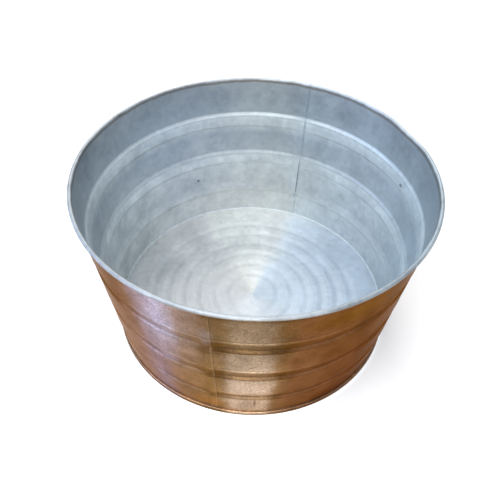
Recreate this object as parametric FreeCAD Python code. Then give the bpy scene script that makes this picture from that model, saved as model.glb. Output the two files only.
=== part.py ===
import FreeCAD, Part
import math
import os

# A round galvanised wash tub: two curved wall panels joined by lock seams, a raised bottom
# hooked to the wall by a double seam, and a top edge rolled outwards over a steel wire.
# Lengths are in millimetres and angles in degrees. The origin is the centre of the base, +Z
# is up, and azimuths run from the back (+Y) towards the right (+X).

# Overall size
rim_radius = 280.0             # outside of the rolled rim
tub_height = 305.0             # base to the top of the rim
base_radius = 245.0            # outside of the bottom seam
sheet = 0.8                    # thickness of the galvanised sheet
wire_diameter = 4.8
wire_slack = 0.05              # room between the wire and the roll round it
wire_gap = 1.0                 # between the wire's two butting ends
wire_joint_azimuth = 80.0
roll_end = 225.0               # where the roll stops short of the wall, anticlockwise from +r

# Bottom seam and floor
floor_height = 13.0            # top of the raised floor
seam_top = 12.0                # top of the hooked bottom seam
hook_play = 0.4                # between a hook's edge and the fold that holds it
fold_bend = 1.0                # outside radius of the folds at the base
skirt_bend = 2.4               # outside radius where the floor turns down into its skirt
wall_break = 13.5              # height where the upright foot of the wall starts to flare
ring_count = 6
first_ring_radius = 50.0
ring_pitch = 27.7
ring_half_width = 7.0
ring_depth = 1.6               # before its corners are rounded
ring_bend = 9.0

# Ribs rolled into the wall, each a row of (height above its step, offset outwards, bend) corners
step_rib = [(-27.0, 0.0, 1.5), (-22.0, -2.5, 1.5), (-6.5, -0.9, 2.0), (-2.5, -1.9, 2.0),
            (3.0, 0.4, 3.0), (9.0, 0.0, 3.0)]
soft_rib = [(-15.5, 0.0, 1.5), (-10.5, -2.2, 1.5), (7.0, 0.5, 6.0), (22.0, 0.0, 6.0)]
ribs = [(74.0, soft_rib), (153.5, step_rib), (235.0, step_rib)]

# Lock seams between the panels
seam_azimuths = {"back": 17.8, "front": 191.5}
panel_seams = {"right": ("back", "front"), "left": ("front", "back")}
seam_width = 10.0
seam_play = 0.3                # between a hook's edge and the fold that holds it
solder_width = 0.6             # between the end of one panel and the offset of the other
seam_low = 14.0                # the hooks stop above the bottom seam
seam_high = 297.5              # and below the rolled rim
solder_top = 15.0              # top of the solder fillet round the bottom
solder_foot = 12.2             # how far the solder runs down between the skirt and the wall

# Worked out from the sizes above
wire_radius = wire_diameter / 2
roll_radius = wire_radius + sheet
roll_r = rim_radius - roll_radius
roll_z = tub_height - roll_radius
skirt_inside = base_radius - 5 * sheet
wall_inside = skirt_inside + sheet

axis_point = FreeCAD.Vector(0, 0, 0)
up = FreeCAD.Vector(0, 0, 1)


def flare_angle():
    # The slope whose line from the top of the upright foot just touches the roll.
    across = roll_r - wall_inside
    rise = roll_z - wall_break
    return math.atan2(across, rise) - math.asin(roll_radius / math.hypot(across, rise))


flare = flare_angle()
layer = sheet / math.cos(flare)        # the sheet's thickness measured along the radius
seam_radius = (wall_inside + rim_radius) / 2


def point(r, z):
    return FreeCAD.Vector(r, 0, z)


def roll_point(radius, degrees):
    turn = math.radians(degrees)
    return point(roll_r + radius * math.cos(turn), roll_z + radius * math.sin(turn))


def plain_wall(z):
    # Radius of the wall's inner face, leaving out the ribs.
    return wall_inside + (z - wall_break) * math.tan(flare)


def rounded_run(corners):
    # Straight edges through (r, z, bend) corners, each turned by an arc of radius bend.
    edges = []
    start = point(*corners[0][:2])
    for (r, z, bend), following in zip(corners[1:], corners[2:] + [None]):
        corner = point(r, z)
        if following is None or bend == 0:
            edges.append(Part.makeLine(start, corner))
            start = corner
            continue
        inward = (corner - start).normalize()
        onward = (point(*following[:2]) - corner).normalize()
        half_turn = inward.getAngle(onward) / 2
        reach = bend * math.tan(half_turn)
        arc_start = corner - inward * reach
        arc_end = corner + onward * reach
        towards_centre = (onward - inward).normalize()
        arc_middle = corner + towards_centre * bend * (1 / math.cos(half_turn) - 1)
        edges.append(Part.makeLine(start, arc_start))
        edges.append(Part.Arc(arc_start, arc_middle, arc_end).toShape())
        start = arc_end
    return edges


def run_start(edges):
    return edges[0].Vertexes[0].Point


def run_end(edges):
    return edges[-1].Vertexes[-1].Point


def closed_face(one_side, other_side):
    # A face between two runs that start at the same end of the sheet.
    far_end = Part.makeLine(run_end(one_side), run_end(other_side))
    near_end = Part.makeLine(run_start(other_side), run_start(one_side))
    outline = one_side + [far_end] + other_side[::-1] + [near_end]
    return Part.Face(Part.Wire(outline))


def sector(face, first_azimuth, last_azimuth):
    # A face swept round the axis between two azimuths.
    turned = face.copy()
    turned.rotate(axis_point, up, 90.0 - last_azimuth)
    return turned.revolve(axis_point, up, last_azimuth - first_azimuth)


def wall_corners(shift):
    # The corners of all ribs from the lowest up, on a line shifted outwards from the inner face.
    corners = []
    for height, rib in ribs:
        for above, offset, bend in rib:
            z = height + above
            corners.append((plain_wall(z) + shift + offset, z, bend))
    return corners


def panel_section():
    # The whole sheet of a panel: hook, upright foot, ribbed wall and rolled top edge.
    hook_outside = wall_inside + 3 * sheet
    hook_end = seam_top - sheet - hook_play
    foot_low = sheet
    outer_break = wall_break - (layer - sheet) / math.tan(flare)
    touch = 180.0 - math.degrees(flare)
    inner_touch = roll_point(roll_radius, touch)
    outer_touch = roll_point(wire_radius, touch)
    inner = [
        (hook_outside, hook_end, 0),
        (hook_outside, foot_low, sheet),
        (wall_inside, foot_low, sheet),
        (wall_inside, wall_break, 0),
    ] + wall_corners(0) + [(inner_touch.x, inner_touch.z, 0)]
    outer = [
        (hook_outside - sheet, hook_end, 0),
        (hook_outside - sheet, foot_low + sheet, 0),
        (wall_inside + sheet, foot_low + sheet, 0),
        (wall_inside + sheet, outer_break, 0),
    ] + wall_corners(layer) + [(outer_touch.x, outer_touch.z, 0)]
    return closed_face(rounded_run(inner) + roll_arc(roll_radius, touch),
                       rounded_run(outer) + roll_arc(wire_radius, touch))


def roll_arc(radius, touch):
    last = roll_end - 360.0
    middle = (touch + last) / 2
    arc = Part.Arc(roll_point(radius, touch), roll_point(radius, middle), roll_point(radius, last))
    return [arc.toShape()]


def seam_section(first_layer, last_layer):
    # Layers of sheet in a lock seam, counted outwards from the inner face of the wall.
    sides = []
    for layers in (first_layer, last_layer):
        shift = layers * layer
        low = (plain_wall(seam_low) + shift, seam_low, 0)
        high = (plain_wall(seam_high) + shift, seam_high, 0)
        sides.append(rounded_run([low] + wall_corners(shift) + [high]))
    return closed_face(*sides)


def along_seam(distance):
    return math.degrees(distance / seam_radius)


def wall_panel(first_azimuth, last_azimuth):
    # The panel's first edge is offset outwards and hooked inwards round the other panel's edge.
    # Its last edge stays in line with the wall and is hooked outwards.
    offset_start = seam_width + solder_width
    hook_start = -sheet - seam_play
    tongue_end = seam_width - sheet - seam_play
    main = panel_section()
    spans = [
        (seam_section(1, 4), first_azimuth, hook_start, -seam_play),
        (seam_section(1, 2), first_azimuth, -seam_play, tongue_end),
        (seam_section(3, 4), first_azimuth, -seam_play, offset_start),
        (seam_section(1, 4).fuse(main).removeSplitter().Faces[0], first_azimuth, offset_start,
         offset_start + sheet),
        (seam_section(2, 3), last_azimuth, 0.0, seam_width - sheet),
        (seam_section(1, 3).fuse(main).removeSplitter().Faces[0], last_azimuth,
         seam_width - sheet, seam_width),
    ]
    body = sector(main, first_azimuth + along_seam(offset_start + sheet),
                  last_azimuth + along_seam(seam_width - sheet))
    pieces = [sector(face, azimuth + along_seam(low), azimuth + along_seam(high))
              for face, azimuth, low, high in spans]
    return body.multiFuse(pieces).removeSplitter()


def ring_corners(lift):
    # Pressed rings in the floor, from the centre outwards.
    corners = []
    for ring in range(ring_count):
        middle = first_ring_radius + ring * ring_pitch
        corners += [
            (middle - ring_half_width, floor_height + lift, ring_bend),
            (middle, floor_height + lift - ring_depth, ring_bend),
            (middle + ring_half_width, floor_height + lift, ring_bend),
        ]
    return corners


def bottom_disc():
    # Floor, skirt down inside the wall, base fold, outer wall of the seam and its inner hook.
    hook_low = 2 * sheet + hook_play
    seam_wall = base_radius - sheet
    upper = [(0, floor_height, 0)] + ring_corners(0) + [
        (wall_inside, floor_height, skirt_bend),
        (wall_inside, sheet, 0),
        (seam_wall, sheet, 0),
        (seam_wall, seam_top - sheet, 0),
        (seam_wall - sheet, seam_top - sheet, 0),
        (seam_wall - sheet, hook_low, 0),
    ]
    lower = [(0, floor_height - sheet, 0)] + ring_corners(-sheet) + [
        (skirt_inside, floor_height - sheet, skirt_bend - sheet),
        (skirt_inside, 0, fold_bend),
        (base_radius, 0, fold_bend),
        (base_radius, seam_top, fold_bend),
        (wall_inside + sheet, seam_top, sheet),
        (wall_inside + sheet, hook_low, 0),
    ]
    return sector(closed_face(rounded_run(upper), rounded_run(lower)), 0, 360)


def rim_wire():
    # A steel rod bent to a ring, its two ends nearly touching.
    circle = Part.Circle(point(roll_r, roll_z), FreeCAD.Vector(0, 1, 0), wire_radius - wire_slack)
    half_gap = math.degrees(wire_gap / 2 / roll_r)
    return sector(Part.Face(Part.Wire(circle.toShape())), wire_joint_azimuth + half_gap,
                  wire_joint_azimuth + 360 - half_gap)


def side_seam_solder(azimuth):
    # Fills the groove between the folded end of one panel and the offset of the other.
    return sector(seam_section(0, 3), azimuth + along_seam(seam_width),
                  azimuth + along_seam(seam_width + solder_width))


def bottom_seam_solder():
    # A fillet between the wall and the floor, running down over the turn of the skirt.
    turn_r = wall_inside - skirt_bend
    turn_z = floor_height - skirt_bend
    foot_angle = math.asin((solder_foot - turn_z) / skirt_bend)
    half_angle = (foot_angle + math.pi / 2) / 2
    foot = point(turn_r + skirt_bend * math.cos(foot_angle), solder_foot)
    half_way = point(turn_r + skirt_bend * math.cos(half_angle),
                     turn_z + skirt_bend * math.sin(half_angle))
    turn_top = point(turn_r, floor_height)
    top = point(plain_wall(solder_top), solder_top)
    edges = [
        Part.makeLine(point(wall_inside, solder_foot), point(wall_inside, wall_break)),
        Part.makeLine(point(wall_inside, wall_break), top),
        Part.makeLine(top, turn_top),
        Part.Arc(turn_top, half_way, foot).toShape(),
        Part.makeLine(foot, point(wall_inside, solder_foot)),
    ]
    return sector(Part.Face(Part.Wire(edges)), 0, 360)


def make_parts():
    parts = {}
    for side, (first_seam, last_seam) in panel_seams.items():
        first = seam_azimuths[first_seam]
        turn = (seam_azimuths[last_seam] - first) % 360
        parts[side + "_wall_panel"] = wall_panel(first, first + turn)
    parts["bottom_disc"] = bottom_disc()
    parts["rim_wire"] = rim_wire()
    for seam, azimuth in seam_azimuths.items():
        parts[seam + "_seam_solder"] = side_seam_solder(azimuth)
    parts["bottom_seam_solder"] = bottom_seam_solder()
    return parts


def main():
    os.makedirs("parts", exist_ok=True)
    for name, shape in make_parts().items():
        solids = shape.Solids
        print(name, "solids", len(solids), "valid", shape.isValid(), "volume", round(shape.Volume))
        solids[0].exportStep("parts/" + name + ".step")


main()
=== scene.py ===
import math

import bmesh
import bpy
from mathutils import Matrix, Vector


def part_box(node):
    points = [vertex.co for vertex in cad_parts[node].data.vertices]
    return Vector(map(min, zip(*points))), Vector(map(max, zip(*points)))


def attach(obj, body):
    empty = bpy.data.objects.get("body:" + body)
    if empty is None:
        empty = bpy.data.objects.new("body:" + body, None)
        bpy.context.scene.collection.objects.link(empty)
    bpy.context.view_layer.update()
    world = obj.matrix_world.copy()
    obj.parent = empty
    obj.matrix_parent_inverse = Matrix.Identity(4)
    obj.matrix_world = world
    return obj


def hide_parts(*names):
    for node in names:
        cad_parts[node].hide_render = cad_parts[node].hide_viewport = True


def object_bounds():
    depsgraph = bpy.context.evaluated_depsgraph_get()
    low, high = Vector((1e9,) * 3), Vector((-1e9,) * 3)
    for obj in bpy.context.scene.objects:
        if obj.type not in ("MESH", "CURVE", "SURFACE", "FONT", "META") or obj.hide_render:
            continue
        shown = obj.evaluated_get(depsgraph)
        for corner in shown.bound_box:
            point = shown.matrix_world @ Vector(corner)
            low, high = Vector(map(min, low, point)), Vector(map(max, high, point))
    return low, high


# A round galvanised wash tub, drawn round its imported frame. Lengths are in millimetres until a
# mesh is made. Azimuths run from the back (+Y) towards the right (+X).
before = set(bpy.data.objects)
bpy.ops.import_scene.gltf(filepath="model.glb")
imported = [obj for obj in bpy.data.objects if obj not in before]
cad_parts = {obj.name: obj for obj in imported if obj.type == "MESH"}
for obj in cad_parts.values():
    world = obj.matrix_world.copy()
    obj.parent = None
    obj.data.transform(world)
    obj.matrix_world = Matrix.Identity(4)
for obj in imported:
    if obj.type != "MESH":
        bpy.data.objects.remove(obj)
cadLow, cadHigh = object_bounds()
mm = 0.001
print("frame loaded")

tub = {                         # what every piece shares
    "rimRadius": cadHigh.x / mm,
    "height": cadHigh.z / mm,
    "baseRadius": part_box("bottom_disc")[1].x / mm,
    "floorTop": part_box("bottom_disc")[1].z / mm,
    "sheet": 0.8,
    "wire": 4.8,
    "wallBreak": 13.5,          # height where the upright foot of the wall starts to flare
    "seams": {"back": 17.8, "front": 191.5},
    "waveDepth": 0.5,           # the hand-made unevenness of the wall, always inwards
    "waveSize": 140.0,
    "seed": 7.0,
    "sharpEdge": 50.0,          # a fold of more degrees than this stays crisp
}
rampHeight = 305.0              # colours that change with height run from the ground to here
sheet = tub["sheet"]
rollRadius = tub["wire"] / 2 + sheet
rollR = tub["rimRadius"] - rollRadius
rollZ = tub["height"] - rollRadius
wallInside = tub["baseRadius"] - 4 * sheet
seamRadius = (wallInside + tub["rimRadius"]) / 2
reach = math.hypot(rollR - wallInside, rollZ - tub["wallBreak"])
flare = math.atan2(rollR - wallInside, rollZ - tub["wallBreak"]) - math.asin(rollRadius / reach)


def linearColour(hexCode):
    channels = [int(hexCode[i:i + 2], 16) / 255 for i in (1, 3, 5)]
    return [c / 12.92 if c <= 0.04045 else ((c + 0.055) / 1.055) ** 2.4 for c in channels] + [1.0]


def addNode(tree, kind, inputs=None, **settings):
    node = tree.nodes.new(kind)
    for name, value in settings.items():
        setattr(node, name, value)
    for key, value in (inputs or {}).items():
        if isinstance(value, bpy.types.NodeSocket):
            tree.links.new(value, node.inputs[key])
        else:
            node.inputs[key].default_value = value
    return node


def roundedLine(corners, step):
    # A line that a sheet follows, through corners of (x, y, bend): its straight runs are cut to
    # the step, and each bend is a short curve.
    curveCuts = 4
    points = [Vector(corners[0][:2])]
    for (x, y, bend), after in zip(corners[1:], corners[2:] + [None]):
        corner = Vector((x, y))
        start = end = corner
        if after is not None and bend > 0:
            inward = (corner - points[-1]).normalized()
            onward = (Vector(after[:2]) - corner).normalized()
            turnReach = bend * math.tan(inward.angle(onward) / 2)
            start = corner - inward * turnReach
            end = corner + onward * turnReach
        before = points[-1]
        cuts = max(1, math.ceil((start - before).length / step))
        points += [before.lerp(start, i / cuts) for i in range(1, cuts + 1)]
        if start != end:
            for i in range(1, curveCuts + 1):
                t = i / curveCuts
                points.append(start * (1 - t) ** 2 + corner * 2 * t * (1 - t) + end * t ** 2)
    return points


def wallMiddle(z):
    return wallInside + sheet / 2 + max(0.0, z - tub["wallBreak"]) * math.tan(flare)


wallPanels = {
    # a rib's corners: height above its place, distance out from the plain wall, bend
    "ribs": {
        "step": [(-27.0, 0.0, 1.5), (-22.0, -2.5, 1.5), (-6.5, -0.9, 2.0), (-2.5, -1.9, 2.0),
                 (3.0, 0.4, 3.0), (9.0, 0.0, 3.0)],
        "soft": [(-15.5, 0.0, 1.5), (-10.5, -2.2, 1.5), (7.0, 0.5, 6.0), (22.0, 0.0, 6.0)],
    },
    "ribPlaces": [(74.0, "soft"), (153.5, "step"), (235.0, "step")],
    "ribZone": (50.0, 250.0),
    "hookTop": 10.8,            # the wall's hook ends here, inside the bottom seam
    "footBend": 0.5,
    "breakBend": 4.0,
    "rollEnd": -135.0,          # where the sheet ends round the wire, in degrees
    "rollCuts": 26,
    "rowLength": 7.0,
    "columnLength": 4.5,
    # the lock seam, as length along the panel, sheets outwards and bend: first the tongue, the
    # fold, the cover and its joggle, then the hook past the panel's last edge
    "firstEdge": [(8.9, 0.6, 0), (-0.7, 0.6, 0.2), (-0.7, 1.1, 0.2), (4.0, 1.7, 4.0),
                  (9.9, 1.7, 2.0), (14.0, 0.0, 4.0)],
    "lastEdge": [(9.7, 0.0, 0.4), (9.7, 1.0, 0.4), (4.0, 1.0, 0)],
    "joggle": (9.95, 15.0),
    "folds": (14.0, 297.5),     # a seam's folds stop short of the bottom seam and of the roll
    "levelFoot": (12.0, 22.0),  # heights over which the joggle is pressed flat below and above
    "levelRim": (282.0, 296.0),
    "seamMiddle": 5.0,          # from a seam's azimuth to the middle of its folds
    "ribsLost": {"back": 0.35, "front": 0.6},   # share of a rib's depth lost over each seam
    "ribsLostOver": (1.8, 4.5),                 # degrees from the middle of the seam
    "dent": {"middle": 65.7, "halfAngle": 9.2, "fades": (215.0, 300.0)},
}


def wallLine(low=None):
    # The middle of a panel's sheet from its hook under the bottom seam to the end of the roll.
    hookMiddle = wallInside + 2.5 * sheet
    foot = 1.5 * sheet
    footBend = wallPanels["footBend"]
    corners = [(hookMiddle, wallPanels["hookTop"], 0), (hookMiddle, foot, footBend),
               (wallMiddle(0), foot, footBend),
               (wallMiddle(0), tub["wallBreak"], wallPanels["breakBend"])]
    if low is not None:
        corners = [(wallMiddle(low), low, 0)]
    for height, kind in wallPanels["ribPlaces"]:
        for above, offset, bend in wallPanels["ribs"][kind]:
            corners.append((wallMiddle(height + above) + offset, height + above, bend))
    radius = rollRadius - sheet / 2
    first = math.pi - flare
    last = math.radians(wallPanels["rollEnd"])
    cuts = wallPanels["rollCuts"]
    arc = [Vector((rollR + radius * math.cos(a), rollZ + radius * math.sin(a)))
           for a in [first + (last - first) * i / cuts for i in range(cuts + 1)]]
    corners.append((arc[0].x, arc[0].y, 0))
    return roundedLine(corners, wallPanels["rowLength"]) + arc[1:]


bottomDisc = {
    "rings": 6,
    "firstRing": 50.0,
    "ringPitch": 27.7,
    "ringHalfWidth": 9.5,
    "ringDepth": 1.6,
    "ringBend": 14.0,
    "skirtBend": 2.0,
    "seamTop": 12.0,
    "hookEnd": 2.0,
    "rowLength": 6.0,
    "columns": 240,
    "sag": 1.0,                 # the bottom hangs down this much at most
    "sagFades": (150.0, 238.0), # radii between which the sag dies out
    "sagZone": 4.0,             # depth below the top that still counts as bottom, not skirt
}


def bottomLine():
    # The middle of the bottom's sheet from the centre to the hook inside the bottom seam.
    top = tub["floorTop"] - sheet / 2
    seamTop = bottomDisc["seamTop"] - sheet / 2
    half = bottomDisc["ringHalfWidth"]
    bend = bottomDisc["ringBend"]
    corners = [(0.0, top, 0)]
    for ring in range(bottomDisc["rings"]):
        middle = bottomDisc["firstRing"] + ring * bottomDisc["ringPitch"]
        corners += [(middle - half, top, bend), (middle, top - bottomDisc["ringDepth"], bend),
                    (middle + half, top, bend)]
    skirt = wallInside - sheet / 2
    outer = tub["baseRadius"] - sheet / 2
    hook = outer - 2 * sheet
    corners += [(skirt, top, bottomDisc["skirtBend"]), (skirt, sheet / 2, 0.6),
                (outer, sheet / 2, 0.7), (outer, seamTop, 0.7), (hook, seamTop, 0.5),
                (hook, bottomDisc["hookEnd"], 0)]
    return roundedLine(corners, bottomDisc["rowLength"])


def panelPlan(firstAzimuth, lastAzimuth):
    # Along the panel's length: its tongue and cover, the panel itself, and its last edge's hook.
    length = math.radians((lastAzimuth - firstAzimuth) % 360.0) * seamRadius
    corners = [(along, out * sheet, bend) for along, out, bend in wallPanels["firstEdge"]]
    corners += [(length + along, out * sheet, bend) for along, out, bend in wallPanels["lastEdge"]]
    joggleStart, joggleEnd = wallPanels["joggle"]
    return [(math.radians(firstAzimuth) + p.x / seamRadius, p.y, joggleStart < p.x < joggleEnd)
            for p in roundedLine(corners, wallPanels["columnLength"])]


def ringPlan(firstAzimuth, turn, columns):
    return [(math.radians(firstAzimuth + turn * i / columns), 0.0, False)
            for i in range(columns + 1)]


def dentDepth(azimuth):
    # The rim was knocked flat between two azimuths, so it follows the chord there.
    dent = wallPanels["dent"]
    away = (math.degrees(azimuth) - dent["middle"] + 180.0) % 360.0 - 180.0
    if abs(away) >= dent["halfAngle"]:
        return 0.0
    half = math.cos(math.radians(dent["halfAngle"]))
    return tub["rimRadius"] * (1 - half / math.cos(math.radians(away)))


def ribFade(azimuth):
    # The rolling tool could not press the ribs fully through a seam's four layers.
    fade = 0.0
    for seam, share in wallPanels["ribsLost"].items():
        middle = tub["seams"][seam] + math.degrees(wallPanels["seamMiddle"] / seamRadius)
        away = abs((math.degrees(azimuth) - middle + 180.0) % 360.0 - 180.0)
        fade = max(fade, share * (1 - smoothStep(away, *wallPanels["ribsLostOver"])))
    return fade


def smoothStep(value, low, high):
    share = min(1.0, max(0.0, (value - low) / (high - low)))
    return share * share * (3 - 2 * share)


def lineObject(name, points, **attributes):
    mesh = bpy.data.meshes.new(name)
    mesh.from_pydata(points, [(i, i + 1) for i in range(len(points) - 1)], [])
    for key, values in attributes.items():
        mesh.attributes.new(key, "FLOAT", "POINT").data.foreach_set("value", values)
    made = bpy.data.objects.new(name, mesh)
    bpy.context.scene.collection.objects.link(made)
    return made


def rolledSheetTree():
    # Rolls a sheet round the tub's axis: a profile line swept along a plan line.
    tree = bpy.data.node_groups.new("rolledSheet", "GeometryNodeTree")
    kinds = [("Profile", "Geometry"), ("Plan", "Object"), ("Wave depth", "Float"),
             ("Wave size", "Float"), ("Sag depth", "Float"), ("Seam low", "Float"),
             ("Seam high", "Float"), ("Seed", "Float"), ("Material", "Material")]
    names = {name: tree.interface.new_socket(name=name, in_out="INPUT",
                                             socket_type="NodeSocket" + kind).identifier
             for name, kind in kinds}
    tree.interface.new_socket(name="Geometry", in_out="OUTPUT", socket_type="NodeSocketGeometry")
    given = addNode(tree, "NodeGroupInput").outputs

    plan = addNode(tree, "GeometryNodeObjectInfo", {"Object": given["Plan"]}).outputs["Geometry"]
    rows = addNode(tree, "GeometryNodeAttributeDomainSize", {0: given["Profile"]}).outputs[0]
    columns = addNode(tree, "GeometryNodeAttributeDomainSize", {0: plan}).outputs[0]
    grid = addNode(tree, "GeometryNodeMeshGrid", {"Vertices X": columns, "Vertices Y": rows})
    index = addNode(tree, "GeometryNodeInputIndex").outputs[0]
    row = addNode(tree, "ShaderNodeMath", {0: index, 1: rows}, operation="MODULO").outputs[0]
    share = addNode(tree, "ShaderNodeMath", {0: index, 1: rows}, operation="DIVIDE").outputs[0]
    column = addNode(tree, "ShaderNodeMath", {0: share}, operation="FLOOR").outputs[0]
    place = addNode(tree, "GeometryNodeInputPosition").outputs[0]
    taken = {}
    for name, line, at in [("rimShare", given["Profile"], row), ("floorShare", given["Profile"], row),
                           ("ribOffset", given["Profile"], row), ("level", given["Profile"], row),
                           ("dent", plan, column), ("seamOnly", plan, column),
                           ("joggle", plan, column), ("ribFade", plan, column)]:
        value = addNode(tree, "GeometryNodeInputNamedAttribute", {"Name": name}, data_type="FLOAT")
        taken[name] = addNode(tree, "GeometryNodeSampleIndex",
                              {0: line, 1: value.outputs[0], 2: at}).outputs[0]
    for name, line, at in [("profile", given["Profile"], row), ("plan", plan, column)]:
        point = addNode(tree, "GeometryNodeSampleIndex", {0: line, "Index": at},
                        data_type="FLOAT_VECTOR")
        tree.links.new(place, point.inputs["Value"])
        taken[name] = addNode(tree, "ShaderNodeSeparateXYZ", {0: point.outputs[0]}).outputs
    azimuth = taken["plan"]["X"]
    sine = addNode(tree, "ShaderNodeMath", {0: azimuth}, operation="SINE").outputs[0]
    cosine = addNode(tree, "ShaderNodeMath", {0: azimuth}, operation="COSINE").outputs[0]
    height = taken["profile"]["Z"]
    faded = addNode(tree, "ShaderNodeMath", {0: taken["ribOffset"], 1: taken["ribFade"]},
                    operation="MULTIPLY").outputs[0]
    faded = addNode(tree, "ShaderNodeMath", {0: taken["profile"]["X"], 1: faded},
                    operation="SUBTRACT").outputs[0]
    levelled = addNode(tree, "ShaderNodeMath", {0: taken["level"], 1: taken["joggle"]},
                       operation="MULTIPLY").outputs[0]
    levelled = addNode(tree, "ShaderNodeMath", {0: 1.0, 1: levelled}, operation="SUBTRACT").outputs[0]
    plainRadius = addNode(tree, "ShaderNodeMath", {0: taken["plan"]["Y"], 1: levelled, 2: faded},
                          operation="MULTIPLY_ADD").outputs[0]

    # Unevenness: the wall wanders inwards, and the bottom sags.
    plainX = addNode(tree, "ShaderNodeMath", {0: plainRadius, 1: sine}, operation="MULTIPLY").outputs[0]
    plainY = addNode(tree, "ShaderNodeMath", {0: plainRadius, 1: cosine},
                     operation="MULTIPLY").outputs[0]
    plainPlace = addNode(tree, "ShaderNodeCombineXYZ", {0: plainX, 1: plainY, 2: height}).outputs[0]
    perMetre = addNode(tree, "ShaderNodeMath", {0: 1.0, 1: given["Wave size"]},
                       operation="DIVIDE").outputs[0]
    noise = addNode(tree, "ShaderNodeTexNoise",
                    {"Vector": plainPlace, "W": given["Seed"], "Scale": perMetre, "Detail": 1.5},
                    noise_dimensions="4D").outputs[0]
    wave = addNode(tree, "ShaderNodeMath", {0: noise, 1: given["Wave depth"]},
                   operation="MULTIPLY").outputs[0]
    dent = addNode(tree, "ShaderNodeMath", {0: taken["dent"], 1: taken["rimShare"]},
                   operation="MULTIPLY").outputs[0]
    inward = addNode(tree, "ShaderNodeMath", {0: wave, 1: dent}, operation="ADD").outputs[0]
    upright = addNode(tree, "ShaderNodeMath", {0: 1.0, 1: taken["floorShare"]},
                      operation="SUBTRACT").outputs[0]
    inward = addNode(tree, "ShaderNodeMath", {0: inward, 1: upright}, operation="MULTIPLY").outputs[0]
    radius = addNode(tree, "ShaderNodeMath", {0: plainRadius, 1: inward},
                     operation="SUBTRACT").outputs[0]
    sag = addNode(tree, "ShaderNodeMath", {0: noise, 1: taken["floorShare"]},
                  operation="MULTIPLY").outputs[0]
    sag = addNode(tree, "ShaderNodeMath", {0: sag, 1: given["Sag depth"]}, operation="MULTIPLY").outputs[0]
    level = addNode(tree, "ShaderNodeMath", {0: height, 1: sag}, operation="SUBTRACT").outputs[0]
    x = addNode(tree, "ShaderNodeMath", {0: radius, 1: sine}, operation="MULTIPLY").outputs[0]
    y = addNode(tree, "ShaderNodeMath", {0: radius, 1: cosine}, operation="MULTIPLY").outputs[0]
    finalPlace = addNode(tree, "ShaderNodeCombineXYZ", {0: x, 1: y, 2: level}).outputs[0]

    # The folds outside the seam's own heights are cut away.
    below = addNode(tree, "FunctionNodeCompare", {0: height, 1: given["Seam low"]},
                    operation="LESS_THAN").outputs[0]
    above = addNode(tree, "FunctionNodeCompare", {0: height, 1: given["Seam high"]},
                    operation="GREATER_THAN").outputs[0]
    outside = addNode(tree, "FunctionNodeBooleanMath", {0: below, 1: above}, operation="OR").outputs[0]
    folded = addNode(tree, "FunctionNodeCompare", {0: taken["seamOnly"], 1: 0.5},
                     operation="GREATER_THAN").outputs[0]
    cut = addNode(tree, "FunctionNodeBooleanMath", {0: outside, 1: folded}, operation="AND").outputs[0]

    marked = addNode(tree, "GeometryNodeStoreNamedAttribute",
                     {"Geometry": grid.outputs[0], "Name": "cutAway", "Value": cut},
                     data_type="BOOLEAN").outputs[0]
    rolled = addNode(tree, "GeometryNodeSetPosition",
                     {"Geometry": marked, "Position": finalPlace}).outputs[0]
    flag = addNode(tree, "GeometryNodeInputNamedAttribute", {"Name": "cutAway"}, data_type="BOOLEAN")
    kept = addNode(tree, "GeometryNodeDeleteGeometry", {0: rolled, "Selection": flag.outputs[0]})
    merged = addNode(tree, "GeometryNodeMergeByDistance",
                     {0: kept.outputs[0], "Distance": 0.02 * mm}).outputs[0]
    turned = addNode(tree, "GeometryNodeFlipFaces", {0: merged}).outputs[0]
    smooth = addNode(tree, "GeometryNodeSetShadeSmooth", {0: turned}).outputs[0]
    real = addNode(tree, "GeometryNodeRealizeInstances", {0: smooth}).outputs[0]
    done = addNode(tree, "GeometryNodeSetMaterial", {0: real, "Material": given["Material"]}).outputs[0]
    addNode(tree, "NodeGroupOutput", {0: done})
    return tree, names


sheetTree, sheetInputs = rolledSheetTree()


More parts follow.
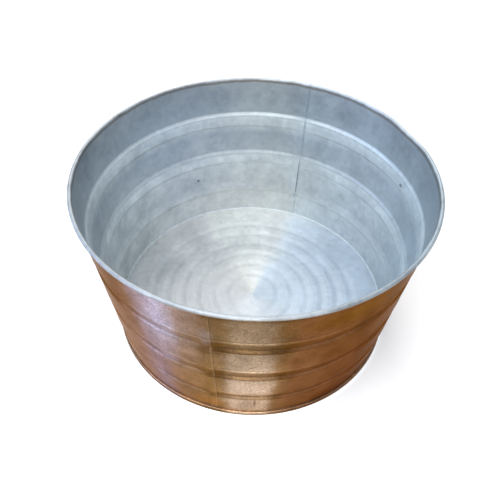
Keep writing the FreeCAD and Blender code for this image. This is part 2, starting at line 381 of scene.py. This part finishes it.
def rolledPiece(name, profile, plan, materials, thick=None, nodes=(), folds=False,
                floor=False):
    # Rolls one piece, gives a sheet its thickness, and leaves a plain mesh on body root.
    profilePoints = [(p.x * mm, 0.0, p.y * mm) for p in profile]
    sagLow = tub["floorTop"] - bottomDisc["sagZone"]
    ribLow, ribHigh = wallPanels["ribZone"]
    line = lineObject(
        name, profilePoints,
        rimShare=[smoothStep(p.y, *wallPanels["dent"]["fades"]) for p in profile],
        floorShare=[1 - smoothStep(p.x, *bottomDisc["sagFades"]) if floor and p.y > sagLow else 0.0
                    for p in profile],
        ribOffset=[(p.x - wallMiddle(p.y)) * mm if ribLow < p.y < ribHigh and not floor else 0.0
                   for p in profile],
        level=[1 - smoothStep(p.y, *wallPanels["levelFoot"]) +
               smoothStep(p.y, *wallPanels["levelRim"]) for p in profile])
    planLine = lineObject(
        name + "Plan", [(azimuth, offset * mm, 0.0) for azimuth, offset, joggle in plan],
        dent=[dentDepth(azimuth) * mm for azimuth, offset, joggle in plan],
        seamOnly=[1.0 if folds and offset > 0.05 and not joggle else 0.0
                  for azimuth, offset, joggle in plan],
        joggle=[float(joggle) for azimuth, offset, joggle in plan],
        ribFade=[ribFade(azimuth) for azimuth, offset, joggle in plan])
    modifier = line.modifiers.new("rolledSheet", "NODES")
    modifier.node_group = sheetTree
    values = {"Plan": planLine, "Wave depth": tub["waveDepth"] * mm, "Wave size": tub["waveSize"] * mm,
              "Sag depth": bottomDisc["sag"] * mm if floor else 0.0,
              "Seam low": wallPanels["folds"][0] * mm, "Seam high": wallPanels["folds"][1] * mm,
              "Seed": tub["seed"], "Material": materials[0]}
    for key, value in values.items():
        modifier[sheetInputs[key]] = value
    line.data = bpy.data.meshes.new_from_object(
        line.evaluated_get(bpy.context.evaluated_depsgraph_get()))
    line.modifiers.clear()
    line.data.materials.clear()
    for material in materials:
        line.data.materials.append(material)
    line.data.polygons.foreach_set("material_index", [0] * len(line.data.polygons))
    if thick:
        wall = line.modifiers.new("thickness", "SOLIDIFY")
        wall.thickness = thick * mm
        wall.offset = 0.0
        wall.use_even_offset = True
        wall.material_offset = wall.material_offset_rim = 1
    rolled = bpy.data.meshes.new_from_object(
        line.evaluated_get(bpy.context.evaluated_depsgraph_get()))
    line.modifiers.clear()
    shape = bmesh.new()
    shape.from_mesh(rolled)
    if not thick:
        bmesh.ops.holes_fill(shape, edges=shape.edges, sides=60)
        bmesh.ops.recalc_face_normals(shape, faces=shape.faces)
    for edge in shape.edges:
        if len(edge.link_faces) == 2 and edge.calc_face_angle() > math.radians(tub["sharpEdge"]):
            edge.smooth = False
    shape.to_mesh(rolled)
    shape.free()
    rolled.name = name
    line.data = rolled
    bpy.data.objects.remove(planLine)
    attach(line, "root")
    if nodes:
        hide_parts(*nodes)
    print(name, len(rolled.polygons), "faces")
    return line


def addMarks(tree, colour, turn, height, marks):
    # Stains, drips, bare patches, and painted shade and highlights: soft ovals with a ragged edge, placed
    # by angle and height.
    raggedSize = 8.0
    ragged = addNode(tree, "ShaderNodeTexNoise",
                     {"Vector": addNode(tree, "ShaderNodeTexCoord").outputs["Object"],
                      "Scale": 1 / (raggedSize * mm), "Detail": 3.0}).outputs[0]
    for degrees, level, halfWidth, halfHeight, tone, strength in marks:
        aside = addNode(tree, "ShaderNodeMath",
                        {0: turn, 1: 180 / math.pi / halfWidth, 2: -degrees / halfWidth},
                        operation="MULTIPLY_ADD").outputs[0]
        above = addNode(tree, "ShaderNodeMath",
                        {0: height, 1: 1 / (halfHeight * mm), 2: -level / halfHeight},
                        operation="MULTIPLY_ADD").outputs[0]
        away = addNode(tree, "ShaderNodeCombineXYZ", {0: aside, 1: above, 2: ragged}).outputs[0]
        away = addNode(tree, "ShaderNodeVectorMath", {0: away}, operation="LENGTH").outputs["Value"]
        share = addNode(tree, "ShaderNodeMapRange", {0: away, 1: 1.25, 2: 0.6, 3: 0.0, 4: strength},
                        interpolation_type="SMOOTHSTEP").outputs[0]
        colour = addNode(tree, "ShaderNodeMix", {0: share, 6: colour, 7: linearColour(tone)},
                         data_type="RGBA").outputs[2]
    return colour


def spangledZinc(name, look):
    # Hot-dip galvanised sheet, dulled by use: grey-blue metal with soft frost-like spangles, a
    # rolled grain that draws highlights out across it, and chalky clouds where it has weathered.
    # The grain is drawn coarser than the sheet's own, so that it shows.
    material = bpy.data.materials.new(name)
    material.use_nodes = True
    tree = material.node_tree
    tree.nodes.clear()
    place = addNode(tree, "ShaderNodeTexCoord").outputs["Object"]
    frost = 6.0 * mm             # the spangles' edges wander this far, as frost does
    ragged = addNode(tree, "ShaderNodeTexNoise", {"Vector": place, "Scale": 1 / frost, "Detail": 2.0})
    shifted = addNode(tree, "ShaderNodeVectorMath", {0: ragged.outputs["Color"], 1: (0.5, 0.5, 0.5)},
                      operation="SUBTRACT").outputs[0]
    shifted = addNode(tree, "ShaderNodeVectorMath", {0: shifted, 1: (frost, frost, frost), 2: place},
                      operation="MULTIPLY_ADD").outputs[0]
    spangle = addNode(tree, "ShaderNodeTexVoronoi",
                      {"Vector": shifted, "Scale": 1 / (look["spangle"] * mm)}).outputs["Color"]
    spangle = addNode(tree, "ShaderNodeSeparateColor", {0: spangle}).outputs[0]
    cloud = addNode(tree, "ShaderNodeTexNoise",
                    {"Vector": place, "Scale": 1 / (look["cloud"] * mm), "Detail": 4.0,
                     "Roughness": 0.6}).outputs[0]
    grain = addNode(tree, "ShaderNodeTexNoise",
                    {"Vector": place, "Scale": 1 / (look["grain"] * mm), "Detail": 3.0,
                     "Roughness": 0.65}).outputs[0]
    mix = addNode(tree, "ShaderNodeMath", {0: spangle, 1: look["spangleShare"]},
                  operation="MULTIPLY").outputs[0]
    cloudPart = addNode(tree, "ShaderNodeMapRange", {0: cloud, 1: 0.3, 2: 0.7, 3: 0.0,
                                                     4: 1.0 - look["spangleShare"]}).outputs[0]
    mix = addNode(tree, "ShaderNodeMath", {0: mix, 1: cloudPart}, operation="ADD").outputs[0]
    colour = addNode(tree, "ShaderNodeMix", {0: mix, 6: linearColour(look["dark"]),
                                             7: linearColour(look["light"])},
                     data_type="RGBA").outputs[2]
    parts = addNode(tree, "ShaderNodeSeparateXYZ", {0: place}).outputs
    turn = addNode(tree, "ShaderNodeMath", {0: parts[0], 1: parts[1]}, operation="ARCTAN2").outputs[0]
    heightShare = addNode(tree, "ShaderNodeMath", {0: parts[2], 1: rampHeight * mm},
                          operation="DIVIDE").outputs[0]
    turnShare = addNode(tree, "ShaderNodeMapRange", {0: turn, 1: -math.pi, 2: math.pi}).outputs[0]
    # The ramps by height and round the tub, where given, are painted shade, highlights and reflections
    # multiplied into the colour.
    for key, share, wander, first, whole in (("upTheWall", heightShare, 0.006, 0.0, rampHeight),
                                             ("around", turnShare, 0.03, -180.0, 360.0)):
        if key not in look:
            continue
        wandering = addNode(tree, "ShaderNodeMapRange", {0: cloud, 1: 0.3, 2: 0.7, 3: -wander,
                                                         4: wander}).outputs[0]
        share = addNode(tree, "ShaderNodeMath", {0: share, 1: wandering}, operation="ADD").outputs[0]
        ramp = addNode(tree, "ShaderNodeValToRGB", {0: share})
        stops = ramp.color_ramp.elements
        while len(stops) < len(look[key]):
            stops.new(0.5)
        for stop, (at, tone) in zip(stops, look[key]):
            stop.position = (at - first) / whole
            stop.color = linearColour(tone)
        colour = addNode(tree, "ShaderNodeMix", {0: 1.0, 6: colour, 7: ramp.outputs[0]},
                         data_type="RGBA", blend_type="MULTIPLY").outputs[2]
    if look.get("marks"):
        colour = addMarks(tree, colour, turn, parts[2], look["marks"])
    rough = addNode(tree, "ShaderNodeMapRange", {0: mix, 1: 0.0, 2: 1.0, 3: look["rough"][0],
                                                 4: look["rough"][1]}).outputs[0]
    bump = addNode(tree, "ShaderNodeBump", {"Strength": look["bump"], "Distance": 0.4 * mm,
                                            "Height": grain})
    shader = addNode(tree, "ShaderNodeBsdfPrincipled",
                     {"Base Color": colour, "Metallic": look["metallic"], "Roughness": rough,
                      "Normal": bump.outputs[0], "Anisotropic": look["anisotropy"]})
    upright = {0: 0.0, 1: 0.0, 2: 1.0}
    outwards = {0: parts[0], 1: parts[1], 2: 0.0}
    stretch = addNode(tree, "ShaderNodeCombineXYZ", outwards if look.get("radial") else upright)
    tree.links.new(stretch.outputs[0], shader.inputs["Tangent"])
    addNode(tree, "ShaderNodeOutputMaterial", {0: shader.outputs[0]})
    return material


# Height and tone, painted reflection and shade: lighter low down and darker towards the rim, with
# painted highlights along the ribs and on top of the roll, and a painted shadow under the roll.
wallShadeByHeight = [(0, "#e8e7e6"), (60, "#e8e7e6"), (85, "#dcdddf"), (120, "#e6e7e8"), (146, "#f4f5f6"),
              (157, "#cfd3d8"), (195, "#c6cbd2"), (207, "#dadde0"), (222, "#e4e7e9"),
              (233, "#f4f6f8"), (241, "#bcc3c9"), (262, "#b0b7be"), (297.6, "#a8aeb4"),
              (298.6, "#827e7a"), (301, "#8a8682"), (303, "#a4a4a6"), (304.5, "#c0c2c6")]
# Degrees from the back towards the right, and tone: painted shade on the sides, and a painted bluish
# reflection on the right.
wallShadeAround = [(-180, "#f4f6f4"), (-125, "#e4e7e6"), (-95, "#e4e7e6"), (-75, "#f6f8f5"),
             (-55, "#fffffd"), (-35, "#ffffff"), (-15, "#fffffc"), (5, "#fbfcf6"),
             (30, "#f4f9f8"), (50, "#f4fafa"), (70, "#f0f7f8"), (90, "#e4eff2"),
             (125, "#e4eef0"), (180, "#f4f6f4")]
seamLine = (20.0, 102.0, 0.3, 52.0, "#4c565e", 0.75)     # flux burnt into the back seam
wallZinc = spangledZinc("weatheredGalvanisedWallAndPaintedShade", {
    "dark": "#ced4d9", "light": "#f8fbfd", "spangle": 9.0, "cloud": 45.0, "grain": 2.6,
    "spangleShare": 0.35, "rough": (0.4, 0.55), "bump": 0.35, "metallic": 0.6, "anisotropy": 0.4,
    "upTheWall": wallShadeByHeight, "around": wallShadeAround,
    # degrees from the back, height, half width in degrees, half height, tone, strength
    "marks": [(72.0, 219.0, 0.9, 3.0, "#50585e", 0.8), (-27.8, 99.5, 0.8, 3.0, "#50585e", 0.8),
              # the two marks at 180 and -180 degrees are painted shade on the lower front of the roll
              (20.0, 61.0, 1.0, 5.0, "#5a646c", 0.6), (180.0, 300.8, 75.0, 1.9, "#7d756e", 0.85),
              (-180.0, 300.8, 75.0, 1.9, "#7d756e", 0.85), seamLine]})
floorZinc = spangledZinc("wornGalvanisedBottomAndPaintedSheen", {
    "dark": "#bcc1c4", "light": "#e6e9ea", "spangle": 9.0, "cloud": 60.0, "grain": 2.6,
    "spangleShare": 0.3, "rough": (0.45, 0.6), "bump": 0.3, "metallic": 0.6, "anisotropy": 0.6,
    # round the tub from the back: a painted warm highlight towards the back, a painted bluish reflection
    # on the right, greyer on the left
    "radial": True, "around": [(-180, "#eef1f4"), (-100, "#f4f4f4"), (-60, "#f4f3f0"),
                               (-30, "#fbf9f4"), (-14, "#fffef6"), (14, "#fffdf8"),
                               (35, "#e6eef6"), (100, "#e2ecf6"), (180, "#eef1f4")]})
# The solder carries the wall's painted shade and reflection by height and round the tub.
solderGrey = spangledZinc("wipedTinLeadSolderAndPaintedShade", {
    "dark": "#c4ccd2", "light": "#eaeff3", "spangle": 4.0, "cloud": 12.0, "grain": 1.5,
    "spangleShare": 0.2, "rough": (0.42, 0.6), "bump": 0.4, "metallic": 0.6, "anisotropy": 0.0,
    "upTheWall": wallShadeByHeight, "around": wallShadeAround, "marks": [seamLine]})
wireSteel = spangledZinc("drawnSteelWire", {
    "dark": "#6a6c6e", "light": "#8d8f92", "spangle": 3.0, "cloud": 20.0, "grain": 1.0,
    "spangleShare": 0.1, "rough": (0.35, 0.5), "bump": 0.2, "metallic": 1.0, "anisotropy": 0.0})


def bronzeLacquerAndPaintedLight(name, look):
    # Thin bronze-toned lacquer brushed over galvanised sheet, its warm brown standing partly for a warm
    # floor reflected in the zinc: painted highlight columns round the tub, painted shade in the sunk bands
    # and under the rim, and speckle strongest in the painted highlights. The speckle is drawn coarser than
    # the lacquer's own, so that it shows.
    material = bpy.data.materials.new(name)
    material.use_nodes = True
    tree = material.node_tree
    tree.nodes.clear()
    place = addNode(tree, "ShaderNodeTexCoord").outputs["Object"]
    parts = addNode(tree, "ShaderNodeSeparateXYZ", {0: place}).outputs
    toFront = addNode(tree, "ShaderNodeMath", {0: parts[1], 1: -1.0}, operation="MULTIPLY").outputs[0]
    turn = addNode(tree, "ShaderNodeMath", {0: parts[0], 1: toFront}, operation="ARCTAN2").outputs[0]
    wobble = addNode(tree, "ShaderNodeTexNoise", {"Vector": place, "Scale": 1 / (look["wobble"] * mm),
                                                  "Detail": 5.0, "Roughness": 0.6}).outputs[0]
    wobble = addNode(tree, "ShaderNodeMapRange", {0: wobble, 1: 0.0, 2: 1.0, 3: -look["wander"],
                                                  4: look["wander"]}).outputs[0]
    moved = addNode(tree, "ShaderNodeMath", {0: turn, 1: wobble}, operation="ADD").outputs[0]
    turnShare = addNode(tree, "ShaderNodeMapRange", {0: moved, 1: -math.pi, 2: math.pi}).outputs[0]
    heightShare = addNode(tree, "ShaderNodeMath", {0: parts[2], 1: rampHeight * mm},
                          operation="DIVIDE").outputs[0]
    ramps = {}
    for key, position in (("aroundLow", turnShare), ("aroundHigh", turnShare),
                          ("upTheWall", heightShare)):
        ramps[key] = addNode(tree, "ShaderNodeValToRGB", {0: position})
        elements = ramps[key].color_ramp.elements
        while len(elements) < len(look[key]):
            elements.new(0.5)
        for element, (at, tone, *speckle) in zip(elements, look[key]):
            element.position = at / rampHeight if key == "upTheWall" else (at + 180.0) / 360.0
            element.color = linearColour(tone)[:3] + (speckle or [1.0])
    upShare = addNode(tree, "ShaderNodeMapRange", {0: parts[2], 1: look["lowUpTo"] * mm,
                                                   2: look["highFrom"] * mm},
                      interpolation_type="SMOOTHSTEP").outputs[0]
    colour = addNode(tree, "ShaderNodeMix", {0: upShare, 6: ramps["aroundLow"].outputs[0],
                                             7: ramps["aroundHigh"].outputs[0]},
                     data_type="RGBA").outputs[2]
    speckled = addNode(tree, "ShaderNodeMix", {0: upShare, 2: ramps["aroundLow"].outputs[1],
                                               3: ramps["aroundHigh"].outputs[1]}).outputs[0]
    # The height ramp's painted shade and highlights are full near the front and at the foot, and weaker
    # further round.
    aside = addNode(tree, "ShaderNodeMath", {0: moved}, operation="ABSOLUTE").outputs[0]
    banded = addNode(tree, "ShaderNodeMapRange", {0: aside, 1: look["bandedWithin"],
                                                  2: 2 * look["bandedWithin"], 3: 1.0,
                                                  4: look["bandedBeyond"]}).outputs[0]
    lowDown = addNode(tree, "ShaderNodeMapRange", {0: parts[2], 1: 20.0 * mm,
                                                   2: 18.0 * mm}).outputs[0]
    banded = addNode(tree, "ShaderNodeMath", {0: banded, 1: lowDown},
                     operation="MAXIMUM").outputs[0]
    colour = addNode(tree, "ShaderNodeMix", {0: banded, 6: colour, 7: ramps["upTheWall"].outputs[0]},
                     data_type="RGBA", blend_type="MULTIPLY").outputs[2]
    colour = addNode(tree, "ShaderNodeVectorMath", {0: colour, 3: look["gain"]},
                     operation="SCALE").outputs[0]
    colour = addMarks(tree, colour, turn, parts[2], look["marks"])
    mottle = addNode(tree, "ShaderNodeTexNoise", {"Vector": place, "Scale": 1 / (look["mottle"] * mm),
                                                  "Detail": 3.0, "Roughness": 0.7}).outputs[0]
    mottleTone = addNode(tree, "ShaderNodeMapRange", {0: mottle, 1: 0.3, 2: 0.7, 3: -1.0,
                                                      4: 1.0}).outputs[0]
    mottleTone = addNode(tree, "ShaderNodeMath", {0: mottleTone, 1: speckled, 2: 1.0},
                         operation="MULTIPLY_ADD").outputs[0]
    blotch = addNode(tree, "ShaderNodeTexNoise", {"Vector": place, "Scale": 1 / (look["blotch"] * mm),
                                                  "Detail": 5.0, "Roughness": 0.62}).outputs[0]
    blotch = addNode(tree, "ShaderNodeMapRange", {0: blotch, 1: 0.3, 2: 0.7, 3: look["blotchTone"][0],
                                                  4: look["blotchTone"][1]}).outputs[0]
    mottleTone = addNode(tree, "ShaderNodeMath", {0: mottleTone, 1: blotch},
                         operation="MULTIPLY").outputs[0]
    colour = addNode(tree, "ShaderNodeVectorMath", {0: colour, 3: mottleTone},
                     operation="SCALE").outputs[0]
    worn = addNode(tree, "ShaderNodeMapRange", {0: parts[2], 1: look["wornBelow"] * mm,
                                                2: (look["wornBelow"] - 0.6) * mm}).outputs[0]
    metal = addNode(tree, "ShaderNodeMath", {0: 1.0, 1: worn}, operation="SUBTRACT").outputs[0]
    colour = addNode(tree, "ShaderNodeMix", {0: worn, 6: colour, 7: linearColour(look["wornEdge"])},
                     data_type="RGBA").outputs[2]
    bump = addNode(tree, "ShaderNodeBump", {"Strength": look["bump"], "Distance": 0.4 * mm,
                                            "Height": mottle})
    shader = addNode(tree, "ShaderNodeBsdfPrincipled",
                     {"Base Color": colour, "Metallic": metal, "Roughness": look["rough"],
                      "Normal": bump.outputs[0], "Anisotropic": look["anisotropy"],
                      "Specular Tint": linearColour(look["edgeTint"])})
    stretch = addNode(tree, "ShaderNodeCombineXYZ", {0: 0.0, 1: 0.0, 2: 1.0}).outputs[0]
    tree.links.new(stretch, shader.inputs["Tangent"])
    addNode(tree, "ShaderNodeOutputMaterial", {0: shader.outputs[0]})
    return material


outsideLacquerAndPaintedLight = bronzeLacquerAndPaintedLight("bronzeLacquerWithPaintedLight", {
    # degrees from the front, tone, and how strongly it is speckled there: the light columns are painted
    # highlights, cream at the front and lavender near -27 degrees, and speckle most
    "aroundLow": [(-180, "#7c583c", 0.2), (-110, "#84603c", 0.2), (-60, "#83644a", 0.22),
                  (-42, "#826656", 0.22), (-33, "#86747a", 0.4), (-26, "#80644e", 0.25),
                  (-12, "#806440", 0.2), (-9, "#8c7254", 0.3), (-6, "#b6a28c", 0.45),
                  (5, "#c4ae96", 0.45), (9, "#8e6e4c", 0.3), (14, "#765238", 0.2),
                  (40, "#683e26", 0.2), (70, "#6c4628", 0.2), (130, "#7c583c", 0.2),
                  (180, "#7c583c", 0.2)],
    "aroundHigh": [(-180, "#7c583c", 0.2), (-110, "#84603c", 0.2), (-60, "#674d33", 0.25),
                   (-46, "#5e4028", 0.3), (-39, "#6c5444", 0.4), (-27, "#9f9aaa", 0.5),
                   (-21, "#847268", 0.3), (-13, "#6e5842", 0.25), (-8, "#725c40", 0.25),
                   (-4, "#86745e", 0.45), (4, "#86745e", 0.45), (9, "#6c5236", 0.25),
                   (14, "#6e4c32", 0.2), (40, "#66442a", 0.2), (120, "#7c583c", 0.2),
                   (180, "#7c583c", 0.2)],
    # height and the tone multiplied in: painted shade in the sunk bands and under the rim, painted
    # highlights along the ribs, and a dark line just above the rubbed foot
    "upTheWall": [(0, "#e2e2e2"), (4.2, "#e2e2e2"), (4.4, "#6a5c50"), (5.8, "#6a5c50"),
                  (6.4, "#d8d4ce"), (54, "#e2e2e2"), (57, "#a89c8c"), (65, "#a89c8c"),
                  (70, "#cac0b4"), (77, "#fffaf4"), (82, "#e2e2e2"), (122, "#e2e2e2"),
                  (125, "#988a78"), (131, "#988a78"), (135, "#a89a88"), (146, "#b4a898"),
                  (151, "#fffaf4"), (156, "#e2e2e2"), (203, "#e2e2e2"), (206, "#988a78"),
                  (212, "#988a78"), (216, "#bcb2a2"), (227, "#c4baaa"), (232, "#fffaf4"),
                  (238, "#dedede"), (282, "#d8d4d0"), (293, "#a8a098")],
    # degrees from the front, height, half width in degrees, half height, tone, strength
    "marks": [(-15.0, 33.0, 8.0, 15.0, "#8e663c", 0.8), (-12.5, 200.0, 5.5, 7.0, "#4e3c2a", 0.5),
              (-13.0, 240.0, 2.6, 26.0, "#8e8a8c", 0.3), (30.0, 266.0, 18.0, 20.0, "#74502a", 0.8),
              (36.0, 30.0, 16.0, 18.0, "#5e3020", 0.6), (2.0, 44.0, 0.6, 15.0, "#6a523a", 0.7),
              # the streak at -11.6 degrees and the ring at 13 mm are painted light over the shade of the
              # front seam's step and of the ledge; the mark at -28 degrees is a painted lavender highlight
              (-11.6, 150.0, 0.5, 170.0, "#8c7458", 0.4),
              (0.0, 13.0, 900.0, 2.0, "#b4967a", 0.75),
              (-28.0, 138.0, 5.0, 8.0, "#a4a2b4", 0.5)],
    "wander": 0.06, "wobble": 30.0,             # how far, in radians, and at what size columns stray
    "lowUpTo": 90.0, "highFrom": 250.0,         # heights between which one row of columns fades
    "bandedWithin": 0.16, "bandedBeyond": 0.3,  # radians from the front, and the share past that
    "gain": 1.25, "mottle": 2.8, "blotch": 28.0, "blotchTone": (0.76, 1.26),
    "wornBelow": 4.2, "wornEdge": "#f2f2f4",    # the foot is rubbed through to dull white zinc
    "edgeTint": "#cbb5a6", "rough": 0.34, "bump": 0.5, "anisotropy": 0.6})
print("materials made")

for side, first, last in (("left", "front", "back"), ("right", "back", "front")):
    rolledPiece(side + "WallPanel", wallLine(), panelPlan(tub["seams"][first], tub["seams"][last]),
                [outsideLacquerAndPaintedLight, wallZinc], thick=sheet, folds=True,
                nodes=[side + "_wall_panel"])

bottom = rolledPiece("raisedBottom", bottomLine(), ringPlan(0.0, 360.0, bottomDisc["columns"]),
                     [outsideLacquerAndPaintedLight, floorZinc], thick=sheet, floor=True,
                     nodes=["bottom_disc"])
for face in bottom.data.polygons:
    # Only the outside of the seam is brown: its underside and the bottom's own are bare zinc.
    seamUnderside = face.center.z < 2.0 * mm and face.normal.z < -0.5
    underBottom = Vector(face.center.xy).length < tub["baseRadius"] * mm - 2.5 * mm
    if face.material_index == 0 and (seamUnderside or underBottom):
        face.material_index = 1

# The wire lies in the roll with a little room, and its two ends nearly meet at the right.
rimWire = {"room": 0.05, "sides": 20, "start": 80.1, "turn": 359.8, "columns": 200}
wireRadius = tub["wire"] / 2 - rimWire["room"]
wireSection = [Vector((rollR + wireRadius * math.cos(a), rollZ + wireRadius * math.sin(a)))
               for a in [2 * math.pi * i / rimWire["sides"] for i in range(rimWire["sides"] + 1)]]
rolledPiece("rimWire", wireSection, ringPlan(rimWire["start"], rimWire["turn"], rimWire["columns"]),
            [wireSteel], nodes=["rim_wire"])

seamSolder = {
    "bottom": 14.0, "thick": 0.75,
    # length along the panel, and distance out: it dips between the panels and thins out past them
    "line": [(8.9, -0.02), (9.6, -0.12), (10.6, -0.1), (11.9, 0.0), (13.4, 0.12)],
}
for seam, azimuth in tub["seams"].items():
    strip = [(math.radians(azimuth) + along / seamRadius, out, False)
             for along, out in seamSolder["line"]]
    rolledPiece(seam + "SeamSolder", wallLine(seamSolder["bottom"]), strip, [solderGrey, solderGrey],
                thick=seamSolder["thick"], nodes=[seam + "_seam_solder"])

bottomSolder = {
    "reach": 2.4, "columns": 360,
    # out from the fillet's toe, and height: down from the wall to the toe, and back under it
    "crown": [(2.2, 14.4), (1.1, 13.5), (-0.6, 13.05), (0.0, 12.7), (1.2, 12.4)],
}
toe = wallInside - bottomSolder["reach"]
fillet = [Vector((wallInside + 0.1, 12.2)), Vector((wallInside + 0.3, 15.6))]
fillet += [Vector((toe + out, height)) for out, height in bottomSolder["crown"]]
fillet.append(Vector((wallInside + 0.1, 12.2)))
rolledPiece("bottomSeamSolder", fillet, ringPlan(0.0, 360.0, bottomSolder["columns"]), [solderGrey],
            nodes=["bottom_seam_solder"])
print("pieces made")

studio = {
    "floorTone": "#fbfbfa", "floorRough": 0.9, "floorHalf": 4.0,
    "worldTone": "#ecf2fa", "worldStrength": 0.85,
    "lights": [
        # name, place and aim in metres, width, height, watts, tone
        ("backSoftbox", (-0.18, 1.7, 1.9), (0, 0, 0.1), 1.1, 1.2, 21, "#fff6ea"),
        ("topSoftbox", (-0.5, -1.05, 2.1), (0, 0.05, 0.0), 2.2, 1.8, 50, "#f8faff"),
        ("leftSoftbox", (-1.9, 0.1, 1.3), (0, 0, 0.1), 1.3, 1.3, 16, "#b4d2ff"),
        ("frontStrip", (0.0, -1.9, 0.3), (0, 0, 0.15), 0.35, 0.5, 10, "#fff2dc"),
        ("frontLeftStrip", (-1.65, -0.85, 0.35), (0, 0, 0.15), 0.3, 0.5, 7, "#d6d0ff"),
    ],
}
floorMesh = bpy.data.meshes.new("studioFloor")
half = studio["floorHalf"]
floorMesh.from_pydata([(-half, -half, 0), (half, -half, 0), (half, half, 0), (-half, half, 0)], [],
                      [(0, 1, 2, 3)])
floorPlane = bpy.data.objects.new("studioFloor", floorMesh)
bpy.context.scene.collection.objects.link(floorPlane)
floorPaint = bpy.data.materials.new("mattePaleBoard")
floorPaint.use_nodes = True
floorShader = floorPaint.node_tree.nodes["Principled BSDF"]
floorShader.inputs["Base Color"].default_value = linearColour(studio["floorTone"])
floorShader.inputs["Roughness"].default_value = studio["floorRough"]
floorMesh.materials.append(floorPaint)

world = bpy.data.worlds.new("studioWorld")
bpy.context.scene.world = world
world.use_nodes = True
world.node_tree.nodes["Background"].inputs[0].default_value = linearColour(studio["worldTone"])
world.node_tree.nodes["Background"].inputs[1].default_value = studio["worldStrength"]

for name, place, aim, width, height, watts, tone in studio["lights"]:
    lamp = bpy.data.lights.new(name, "AREA")
    lamp.shape = "RECTANGLE"
    lamp.size, lamp.size_y = width, height
    lamp.energy = watts
    lamp.color = linearColour(tone)[:3]
    holder = bpy.data.objects.new(name, lamp)
    holder.location = place
    holder.rotation_euler = (Vector(aim) - Vector(place)).to_track_quat("-Z", "Y").to_euler()
    bpy.context.scene.collection.objects.link(holder)

view = {"aim": (-4.5, 0.0, 128.0), "distance": 971.6, "elevation": 46.22, "tilt": 1.90,
        "lens": 39.97, "sensor": 36.0}
rise, tilt = math.radians(view["elevation"]), math.radians(view["tilt"])
backward = Vector((0, -math.cos(rise), math.sin(rise)))
across = Vector((1, 0, 0))
upward = backward.cross(across)
tiltedAcross = across * math.cos(tilt) + upward * math.sin(tilt)
tiltedUp = upward * math.cos(tilt) - across * math.sin(tilt)
eye = (Vector(view["aim"]) + backward * view["distance"]) * mm
camera = bpy.data.objects.new("camera", bpy.data.cameras.new("camera"))
camera.data.lens = view["lens"]
camera.data.sensor_width = view["sensor"]
camera.matrix_world = Matrix.Translation(eye) @ Matrix(
    (tiltedAcross, tiltedUp, backward)).transposed().to_4x4()
bpy.context.scene.collection.objects.link(camera)
bpy.context.scene.camera = camera
bpy.context.scene.view_settings.view_transform = "Standard"
print("floor, light and camera set")
